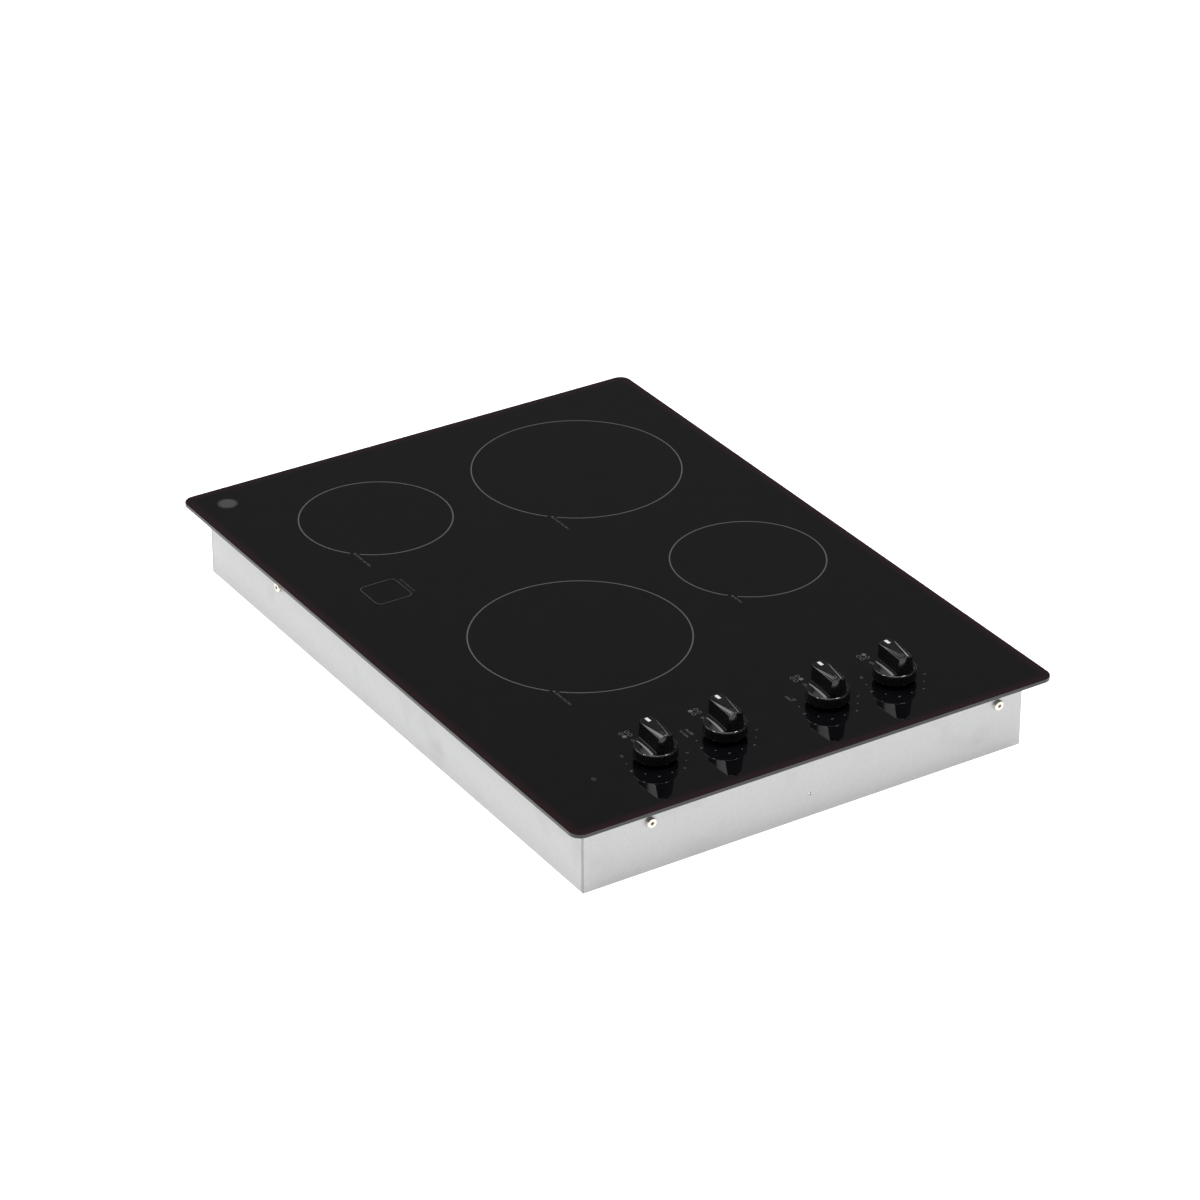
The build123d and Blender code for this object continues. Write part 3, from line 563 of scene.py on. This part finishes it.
def around(axis, angle, reach):
    """A place on the glass at an angle and a distance in mm from a knob's axis."""
    return (
        axis.x + reach * MM * cos(radians(angle)),
        axis.y + reach * MM * sin(radians(angle)),
    )


def burner_icon(bm, axis, zone):
    """Four small rings that stand for the zones, with the knob's own zone filled."""
    for column, side in enumerate(("left", "right")):
        for row, depth in enumerate(("front", "rear")):
            x = axis.x + ICON_LEFT + column * ICON_STEP
            y = axis.y + ICON_LOW + row * ICON_STEP
            if zone == depth + "_" + side:
                dot(bm, x, y, ICON_OUTER)
            else:
                band(bm, x, y, ICON_INNER, ICON_OUTER, 0, 2 * pi, 24)


def dial_prints(pale):
    """The scale round each knob, its burner icon, and the words between the knobs."""
    scale = bmesh.new()
    icons = bmesh.new()
    for zone in ZONES:
        axis = centre(zone + "_switch_shaft")
        for text, angle, reach in DIAL_MARKS:
            lettering(scale, text, *around(axis, angle, reach), DIAL_TALL)
        for angle in DIAL_DOTS:
            dot(scale, *around(axis, angle, DIAL_DOT_REACH), DIAL_DOT_RADIUS, 16)
        burner_icon(icons, axis, zone)
    for zone, text, x, y, wide in HINTS:
        knob = centre(zone + "_switch_shaft")
        lettering(scale, text, knob.x + x, knob.y + y, HINT_TALL, wide)
    add_print("dial_scales", scale, pale)
    add_print("burner_icons", icons, pale)


# The roundel's place from the glass's front left corner, and the radii of its disc and its ring.
ROUNDEL_IN = (33.3 * MM, 35.5 * MM)
ROUNDEL_DISC = 8.6 * MM
ROUNDEL_RING = (9.3 * MM, 10.1 * MM)
BAR_FORWARD = 66.5 * MM
# The half length, half width and corner radius of the bar's inner and outer outline.
BAR_INNER = (1.7 * MM, 1.0 * MM, 0.6 * MM)
BAR_OUTER = (2.5 * MM, 1.8 * MM, 1.2 * MM)


def corner_prints(faint):
    """A blank roundel in the front left corner and a small plain bar in front of the knobs."""
    roundel = bmesh.new()
    x = GLASS_LOW.x + ROUNDEL_IN[0]
    y = GLASS_LOW.y + ROUNDEL_IN[1]
    dot(roundel, x, y, ROUNDEL_DISC, 64)
    band(roundel, x, y, *ROUNDEL_RING, 0, 2 * pi, 96)
    add_print("plain_roundel", roundel, faint)
    bar = bmesh.new()
    knob = centre("front_right_switch_shaft")
    y = knob.y - BAR_FORWARD
    loop_strip(bar, rounded_points(knob.x, y, *BAR_INNER), rounded_points(knob.x, y, *BAR_OUTER))
    add_print("plain_bar", bar, faint)


# ---------------------------------------------------------------- knobs
# Heights on a knob are from the foot of its skirt; it turns about Z, and its pointer is at -X.
SKIRT_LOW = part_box("front_right_knob")[0].z
GRIP_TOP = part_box("front_right_knob")[1].z - SKIRT_LOW
SKIRT_RADIUS = 21.0 * MM
SKIRT_TALL = 10.0 * MM
SKIRT_DOME = 0.7 * MM
# The radius of the rim's round, how far in it starts, and how far the wall leans in below it.
SKIRT_RIM = 1.2 * MM
RIM_INSET = 0.4 * MM
SKIRT_DRAFT = 0.35 * MM
SKIRT_LIP = 0.5 * MM
SKIRT_WALL = 2.1 * MM
SKIRT_ROOF = 2.5 * MM
BOSS_RADIUS = 6.2 * MM
BOSS_LOW = 0.6 * MM
BOSS_EDGE = 0.4 * MM
BORE_RADIUS = 3.05 * MM
BORE_NECK = SKIRT_TALL - 1 * MM
BORE_END = 18.4 * MM
LATHE_STEPS = 128
BORE_STEPS = 48

# The grip's half length where its section stops changing, and at its top edge; its half width there.
GRIP_HALF = 17.0 * MM
GRIP_END = 18.2 * MM
GRIP_LEAN = radians(2.5)
GRIP_HALF_WIDTH = 7.5 * MM
# Pairs are the values at the pointer's end and at the other end.
GRIP_FOOT_WIDTHS = (7.6 * MM, 9.6 * MM)
EAVE_DROPS = (1.0 * MM, 2.6 * MM)
GRIP_FLARE = 4.5 * MM
GRIP_SINK = 1.2 * MM
RIDGE_HALF = 0.4 * MM
# How hollow each top facet is, as a part of its width, and how many runs make its curve.
SCOOP = 0.10
SCOOP_STEPS = 6
EAVE_ROUND = 0.9 * MM
END_ROUND = 0.6 * MM
END_TURNS = (radians(30), radians(60), radians(90))
END_STEPS = 10
GRIP_PARTS = (-1, -0.75, -0.5, -0.25, 0, 0.25, 0.5, 0.75, 1)

MARK_LONG = 6.8 * MM
MARK_WIDE = 3.3 * MM
MARK_CORNER = 0.5 * MM
MARK_PLACE = -13.2 * MM
MARK_SINK = 0.3 * MM
MARK_PROUD = 0.06 * MM
SHARP_ANGLE = radians(40)


def lathe(bm, profile, steps):
    """A solid of revolution about Z from a closed list of (radius, height)."""
    rows = []
    for i in range(steps):
        angle = 2 * pi * i / steps
        rows.append([bm.verts.new((r * cos(angle), r * sin(angle), z)) for r, z in profile])
    count = len(profile)
    for i in range(steps):
        here, there = rows[i], rows[(i + 1) % steps]
        for k in range(count):
            near, far = profile[k][0], profile[(k + 1) % count][0]
            if near > 0 or far > 0:
                bm.faces.new((here[k], there[k], there[(k + 1) % count], here[(k + 1) % count]))


def arc_points(x, z, radius, start, end, steps):
    """Points along an arc of a section."""
    turns = [radians(start + (end - start) * i / steps) for i in range(steps + 1)]
    return [(x + radius * cos(t), z + radius * sin(t)) for t in turns]


def skirt_mesh():
    """The round skirt, slightly domed, with its boss and bore and every edge rounded."""
    r, tall, rim, lip = SKIRT_RADIUS, SKIRT_TALL, SKIRT_RIM, SKIRT_LIP
    roof = tall - SKIRT_ROOF
    wall = r - SKIRT_WALL
    inner = r - RIM_INSET - rim
    edge = BOSS_LOW + BOSS_EDGE
    profile = [(BORE_RADIUS, BORE_NECK), (BORE_RADIUS, edge)]
    profile += [(BORE_RADIUS + BOSS_EDGE, BOSS_LOW), (BOSS_RADIUS - BOSS_EDGE, BOSS_LOW)]
    profile += [(BOSS_RADIUS, edge), (BOSS_RADIUS, roof), (wall, roof)]
    profile += [(wall, lip), (wall + lip, 0.0)]
    profile += arc_points(r - lip, lip, lip, -90, 0, 4)
    profile += [(r - SKIRT_DRAFT, tall - rim)]
    profile += arc_points(inner, tall - rim, rim, 8, 76, 8)
    for i in range(1, 9):
        reach = inner + (BORE_RADIUS - inner) * i / 8
        profile.append((reach, tall + SKIRT_DOME * (1 - (reach / inner) ** 2)))
    bm = bmesh.new()
    lathe(bm, profile, LATHE_STEPS)
    return finished(bm, "skirt")


def between(pair, part):
    """A value part of the way from the first of a pair to the second."""
    return pair[0] + (pair[1] - pair[0]) * part


def rounded_corner(before, corner, after, reach, steps=5):
    """Points of a curve that rounds a corner off, starting and ending at one reach from it."""
    start = corner + (before - corner).normalized() * reach
    end = corner + (after - corner).normalized() * reach
    points = []
    for i in range(steps + 1):
        part = i / steps
        points.append(tuple(start.lerp(corner, part).lerp(corner.lerp(end, part), part)))
    return points


def grip_side(x):
    """The right half of the grip's section at a place along it: flared foot, side, eave, scoop, top."""
    along = min(1.0, max(0.0, (x + GRIP_HALF) / (2 * GRIP_HALF)))
    wide = between(GRIP_FOOT_WIDTHS, along) + GRIP_FLARE
    outward = min(1.0, (x * x + wide ** 2) / SKIRT_RADIUS ** 2)
    low = SKIRT_TALL + SKIRT_DOME * (1 - outward)
    foot = (wide, SKIRT_TALL - GRIP_SINK)
    flare = arc_points(wide, low + GRIP_FLARE, GRIP_FLARE, 270, 180, 10)
    eave = Vector((GRIP_HALF_WIDTH, GRIP_TOP - between(EAVE_DROPS, along)))
    ridge_half = min(between((GRIP_HALF_WIDTH, RIDGE_HALF), along), GRIP_HALF_WIDTH - EAVE_ROUND)
    ridge = Vector((ridge_half, GRIP_TOP))
    sag = Vector((ridge.y - eave.y, eave.x - ridge.x)) * SCOOP
    scoop = []
    for i in range(1, SCOOP_STEPS + 1):
        part = i / SCOOP_STEPS
        scoop.append(eave.lerp(ridge, part) - sag * 4 * part * (1 - part))
    reach = min(EAVE_ROUND, 0.6 * (scoop[0] - eave).length)
    corner = rounded_corner(Vector(flare[-1]), eave, scoop[0], reach)
    return [foot] + flare + corner + [tuple(point) for point in scoop]


def cone_radius(z):
    """The radius, at a height, of the leaning round that the grip's two ends lie on."""
    return GRIP_END + (GRIP_TOP - z) * tan(GRIP_LEAN)


def on_end(y, z):
    """How far along the grip its end lies, at a place across it and a height."""
    return sqrt(cone_radius(z) ** 2 - y * y)


def across(y, z):
    """Points between one side of the grip and the other, at one height."""
    return [(y * (1 - 2 * i / END_STEPS), z) for i in range(1, END_STEPS)]


def grip_outline(x):
    """The grip's whole section: right side, across the top, left side, across the bottom."""
    right = grip_side(x)
    left = [(-y, z) for y, z in right[::-1]]
    return right + across(*right[-1]) + left + across(*left[-1])


def rounded_end_point(way, turn, y, z):
    """A point of the section where the grip's end edge turns over, drawn in by the rounding."""
    inset = END_ROUND * (1 - cos(turn))
    drawn_y = y * (1 - inset / GRIP_HALF_WIDTH)
    drawn_z = z - inset * (z - SKIRT_TALL) / (GRIP_TOP - SKIRT_TALL)
    start = on_end(y, z) - END_ROUND
    return way * (start + (on_end(drawn_y, drawn_z) - start) * sin(turn)), drawn_y, drawn_z


def grip_rows():
    """The grip's sections from end to end."""
    rows = []
    for part in GRIP_PARTS:
        outline = grip_outline(part * GRIP_HALF)
        rows.append([(part * (on_end(y, z) - END_ROUND), y, z) for y, z in outline])
    for turn in END_TURNS:
        rows.insert(0, [rounded_end_point(-1, turn, y, z) for y, z in grip_outline(-GRIP_HALF)])
        rows.append([rounded_end_point(1, turn, y, z) for y, z in grip_outline(GRIP_HALF)])
    return rows


def end_face(bm, outline, way):
    """Closes one end of the grip with a grid that lies on the leaning round."""
    half = len(grip_side(0))
    gap = END_STEPS - 1
    grid = []
    for k in range(half):
        right = outline[k]
        left = outline[2 * half + gap - 1 - k]
        if k == 0:
            inner = outline[:-gap - 1:-1]
        elif k == half - 1:
            inner = outline[half:half + gap]
        else:
            spots = across(right.co.y, right.co.z)
            inner = [bm.verts.new((way * on_end(y, z), y, z)) for y, z in spots]
        grid.append([right] + inner + [left])
    for low, high in zip(grid, grid[1:]):
        for i in range(END_STEPS):
            bm.faces.new((low[i], low[i + 1], high[i + 1], high[i]))


def grip_mesh():
    """The bar grip: its flared sections joined along its length, with round leaning ends."""
    bm = bmesh.new()
    loops = [[bm.verts.new(point) for point in row] for row in grip_rows()]
    for here, there in zip(loops, loops[1:]):
        close_side(bm, here, there)
    end_face(bm, loops[0], -1)
    end_face(bm, loops[-1], 1)
    return finished(bm, "grip")


def bore_mesh():
    """The shaft's bore."""
    low = -1 * MM
    bm = bmesh.new()
    profile = [(0, low), (BORE_RADIUS, low), (BORE_RADIUS, BORE_END), (0, BORE_END)]
    lathe(bm, profile, BORE_STEPS)
    return finished(bm, "bore")


def apply_modifiers(obj):
    """Bakes an object's modifiers into its mesh."""
    bpy.context.view_layer.update()
    evaluated = obj.evaluated_get(bpy.context.evaluated_depsgraph_get())
    mesh = bpy.data.meshes.new_from_object(evaluated)
    obj.modifiers.clear()
    obj.data = mesh


def scratch(name, mesh):
    """A temporary object."""
    obj = bpy.data.objects.new(name, mesh)
    bpy.context.scene.collection.objects.link(obj)
    return obj


def join(target, tool, operation):
    """Combines two temporary objects' solids into the first."""
    modifier = target.modifiers.new("join", "BOOLEAN")
    modifier.operation = operation
    modifier.solver = "EXACT"
    modifier.object = tool
    apply_modifiers(target)


def knob_mesh():
    """One knob's mesh, standing on the origin: grip and skirt joined, the shaft's bore cut."""
    grip = scratch("grip", grip_mesh())
    bore = scratch("bore", bore_mesh())
    skirt = scratch("skirt", skirt_mesh())
    join(skirt, grip, "UNION")
    join(skirt, bore, "DIFFERENCE")
    mesh = skirt.data.copy()
    mesh.name = "knob"
    for obj in (grip, bore, skirt):
        bpy.data.objects.remove(obj)
    return mesh


def mark_mesh():
    """The white pointer on the grip's top, a thin plate with rounded corners."""
    bm = bmesh.new()
    points = rounded_points(MARK_PLACE, 0, MARK_LONG / 2, MARK_WIDE / 2, MARK_CORNER, 4)
    plate(bm, points, GRIP_TOP - MARK_SINK, GRIP_TOP + MARK_PROUD)
    return finished(bm, "pointer")


def shade_smooth(obj):
    """Smooth shading that keeps the large faces flat and the sharp edges sharp."""
    for polygon in obj.data.polygons:
        polygon.use_smooth = True
    obj.data.set_sharp_from_angle(angle=SHARP_ANGLE)
    weighted = obj.modifiers.new("weighted", "WEIGHTED_NORMAL")
    weighted.keep_sharp = True
    weighted.weight = 100


def add_knobs(plastic, white):
    """Stands a knob and its pointer on each shaft, in place of the CAD knob."""
    knob = knob_mesh()
    pointer = mark_mesh()
    for zone in ZONES:
        axis = centre(zone + "_switch_shaft")
        place = Matrix.Translation((axis.x, axis.y, SKIRT_LOW))
        for suffix, mesh, material in (("_knob_shell", knob, plastic), ("_knob_pointer", pointer, white)):
            own = mesh.copy()
            own.transform(place)
            obj = piece(zone + suffix, own, material, zone + "_knob")
            if suffix == "_knob_shell":
                shade_smooth(obj)
                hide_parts(zone + "_knob")


# ---------------------------------------------------------------- CAD nodes that stay
def dress_frame():
    """Gives every CAD node its material."""
    sheet = bright_sheet("aluminised sheet", (0.42, 0.43, 0.44), (0.66, 0.67, 0.68))
    spring = bright_sheet("spring steel", (0.28, 0.29, 0.30), (0.50, 0.51, 0.53), 240.0)
    ribbon = bright_sheet("oxidised ribbon", (0.12, 0.10, 0.09), (0.26, 0.22, 0.19), 300.0)
    rubber = grainy("black rubber", (0.012, 0.012, 0.012), (0.02, 0.02, 0.02), 0.55, 700.0, 0.02 * MM)
    foam = grainy("foam tape", (0.02, 0.02, 0.02), (0.045, 0.045, 0.045), 0.85, 1500.0, 0.2 * MM)
    silicone = grainy("silicone bead", (0.02, 0.02, 0.022), (0.03, 0.03, 0.033), 0.4, 160.0, 0.1 * MM)
    brown = (0.018, 0.014, 0.012)
    phenolic = grainy("moulded phenolic", brown, (0.035, 0.028, 0.025), 0.4, 900.0, 0.02 * MM)
    ceramic = grainy("steatite", (0.70, 0.69, 0.65), (0.80, 0.79, 0.76), 0.5, 500.0, 0.03 * MM)
    fibre = grainy("ceramic fibre", (0.60, 0.58, 0.53), (0.76, 0.74, 0.70), 0.9, 420.0, 0.3 * MM)
    sleeving = grainy("lead sleeving", (0.22, 0.03, 0.025), (0.34, 0.05, 0.04), 0.6, 1800.0, 0.1 * MM)
    lens = grainy("red lens", (0.30, 0.012, 0.008), (0.42, 0.02, 0.012), 0.2, 300.0, 0.01 * MM)
    plated = plated_screw()
    paint(black_ceramic_glass(), "glass_top")
    paint(galvanised_sheet(), "burner_box")
    paint(foam, "rim_gasket")
    paint(silicone, "adhesive_bead")
    paint(sheet, "top_frame", "element_rails", "heat_shield")
    paint(sheet, "switch_bracket", "indicator_bracket", "switch_covers")
    paint(spring, "rail_springs", "bracket_screws")
    paint(plated, "side_screws", "switch_terminals")
    paint(rubber, "shaft_grommets")
    paint(phenolic, "terminal_block", "inlet_bushing")
    paint(sleeving, "wire_harness")
    paint(lens, "indicator_lamp")
    for zone in ZONES:
        paint(sheet, zone + "_dish")
        paint(fibre, zone + "_insulation")
        paint(ribbon, zone + "_coil")
        paint(ceramic, zone + "_limiter", zone + "_switch_cam")
        paint(phenolic, zone + "_switch_base")
        paint(spring, zone + "_switch_shaft", zone + "_switch_spring", zone + "_knob_clip")


# ---------------------------------------------------------------- studio
FLOOR_HALF = 40.0
FLOOR_DROP = 0.2 * MM
# The sky's grey by the sine of the height above the horizon.
SKY_STOPS = ((0.0, 0.8), (0.005, 0.8), (0.03, 0.12), (0.62, 0.12), (0.85, 0.5), (1.0, 1.0))
SUN_STRENGTH = 2.0
SUN_WIDTH = radians(38)
SOFTBOX_AIM = Vector((0.2, 0.0, TOP))
SOFTBOX_AWAY = 3.0
# Each softbox: its side, its azimuth from +X and elevation in degrees, its width and height, its watts.
SOFTBOXES = (
    ("left", 188, 47, 1.7, 0.95, 19),
    ("front", -110, 54, 0.64, 0.5, 46),
    ("back", 70, 65, 0.72, 0.48, 50),
)


def add_floor():
    """A wide pale floor under the burner box."""
    bm = bmesh.new()
    bmesh.ops.create_grid(bm, x_segments=4, y_segments=4, size=FLOOR_HALF)
    mesh = bpy.data.meshes.new("floor")
    bm.to_mesh(mesh)
    bm.free()
    floor = bpy.data.objects.new("floor", mesh)
    bpy.context.scene.collection.objects.link(floor)
    floor.location.z = cad_box[0][2] - FLOOR_DROP
    mesh.materials.append(pale_floor())


def add_world():
    """A studio that is pale at the horizon, dark above it and light overhead."""
    world = bpy.data.worlds.new("studio")
    bpy.context.scene.world = world
    world.use_nodes = True
    tree = world.node_tree
    tree.nodes.clear()
    place = tree.nodes.new("ShaderNodeTexCoord")
    split = tree.nodes.new("ShaderNodeSeparateXYZ")
    tree.links.new(place.outputs["Generated"], split.inputs["Vector"])
    ramp = tree.nodes.new("ShaderNodeValToRGB")
    tree.links.new(split.outputs["Z"], ramp.inputs["Fac"])
    elements = ramp.color_ramp.elements
    while len(elements) < len(SKY_STOPS):
        elements.new(0.5)
    for element, (height, grey) in zip(elements, SKY_STOPS):
        element.position = height
        element.color = (grey, grey, grey, 1.0)
    background = tree.nodes.new("ShaderNodeBackground")
    tree.links.new(ramp.outputs["Color"], background.inputs["Color"])
    out = tree.nodes.new("ShaderNodeOutputWorld")
    tree.links.new(background.outputs["Background"], out.inputs["Surface"])


def add_lights():
    """A broad soft light from overhead, and three softboxes that draw the knobs' highlights."""
    scene = bpy.context.scene
    sun = bpy.data.lights.new("overhead", "SUN")
    sun.energy = SUN_STRENGTH
    sun.angle = SUN_WIDTH
    scene.collection.objects.link(bpy.data.objects.new("overhead", sun))
    for name, azimuth, elevation, wide, tall, watts in SOFTBOXES:
        data = bpy.data.lights.new(name, "AREA")
        data.shape = "RECTANGLE"
        data.size = wide
        data.size_y = tall
        data.energy = watts
        lamp = bpy.data.objects.new(name, data)
        scene.collection.objects.link(lamp)
        turn, rise = radians(azimuth), radians(elevation)
        away = Vector((cos(turn) * cos(rise), sin(turn) * cos(rise), sin(rise)))
        lamp.location = SOFTBOX_AIM + SOFTBOX_AWAY * away
        lamp.rotation_euler = away.to_track_quat("Z", "Y").to_euler()


def use_plain_colours():
    """Shows white as white."""
    bpy.context.scene.view_settings.view_transform = "Standard"


# ---------------------------------------------------------------- the whole scene
add_camera()
dress_frame()
pale = printed_enamel("pale grey print", (0.043, 0.043, 0.045), (0.056, 0.056, 0.058))
grey = printed_enamel("grey print", (0.036, 0.036, 0.037), (0.048, 0.048, 0.049))
faint = printed_enamel("faint print", (0.015, 0.015, 0.0155), (0.022, 0.022, 0.0225))
zone_prints(grey)
indicator_prints(faint)
dial_prints(pale)
corner_prints(faint)
add_knobs(knob_plastic(), white_inlay())
add_floor()
add_world()
add_lights()
use_plain_colours()
